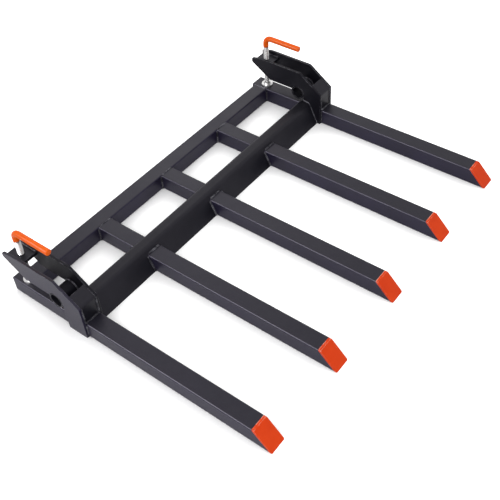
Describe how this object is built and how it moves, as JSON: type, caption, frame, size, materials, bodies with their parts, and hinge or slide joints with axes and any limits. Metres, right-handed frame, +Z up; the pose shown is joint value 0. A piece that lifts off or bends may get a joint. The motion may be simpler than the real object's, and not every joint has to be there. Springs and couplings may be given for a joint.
{
  "type": "clamp-on pallet fork",
  "caption": "Clamp-on fork for a loader bucket: square-tube tines with bevelled tips on a welded ladder frame, held by screw clamps with bent handles.",
  "frame": {"origin": "bottom centre of the whole fork's box, on the ground it lies on", "axes": "+X along the width to the right clamp, -Y along the tines to their tips, +Z up"},
  "size_m": [1.156, 0.8724, 0.241],
  "materials": {
    "black_powder_coat": "satin",
    "orange_red_paint": "satin",
    "zinc_plated_steel": "bright zinc, the handle painted orange"
  },
  "bodies": {
    "frame": {"tine_1": "black_powder_coat", "tine_2": "black_powder_coat", "tine_3": "black_powder_coat", "tine_4": "black_powder_coat", "tine_5": "black_powder_coat", "tip_plate_1": "orange_red_paint", "tip_plate_2": "orange_red_paint", "tip_plate_3": "orange_red_paint", "tip_plate_4": "orange_red_paint", "tip_plate_5": "orange_red_paint", "cross_member_1": "black_powder_coat", "cross_member_2": "black_powder_coat", "cross_member_3": "black_powder_coat", "front_rail": "black_powder_coat", "rear_rail": "black_powder_coat", "left_outer_plate": "black_powder_coat", "left_inner_plate": "black_powder_coat", "left_stop_pipe": "black_powder_coat", "left_nose_plate": "black_powder_coat", "left_nut_plate": "black_powder_coat", "left_nut": "black_powder_coat", "left_rear_cap": "black_powder_coat", "right_outer_plate": "black_powder_coat", "right_inner_plate": "black_powder_coat", "right_stop_pipe": "black_powder_coat", "right_nose_plate": "black_powder_coat", "right_nut_plate": "black_powder_coat", "right_nut": "black_powder_coat", "right_rear_cap": "black_powder_coat"},
    "left_foot": {"left_foot": "zinc_plated_steel"},
    "left_screw": {"left_screw": "zinc_plated_steel"},
    "right_foot": {"right_foot": "zinc_plated_steel"},
    "right_screw": {"right_screw": "zinc_plated_steel"}
  },
  "joints": [
    {"name": "left_screw_turn", "type": "hinge", "parent": "left_foot", "child": "left_screw", "pos_m": [-0.5446, 0.39085, 0.06], "axis": [0, 0, 1], "range_deg": [0, 8640]},
    {"name": "left_foot_travel", "type": "slide", "parent": "frame", "child": "left_foot", "axis": [0, 0, 1], "range_m": [0, 0.06]},
    {"name": "right_screw_turn", "type": "hinge", "parent": "right_foot", "child": "right_screw", "pos_m": [0.5446, 0.39085, 0.06], "axis": [0, 0, 1], "range_deg": [0, 8640]},
    {"name": "right_foot_travel", "type": "slide", "parent": "frame", "child": "right_foot", "axis": [0, 0, 1], "range_m": [0, 0.06]}
  ],
  "couplings": [
    {"joint": "left_foot_travel", "follows": "left_screw_turn", "m_per_rad": 0.00039789},
    {"joint": "right_foot_travel", "follows": "right_screw_turn", "m_per_rad": 0.00039789}
  ]
}
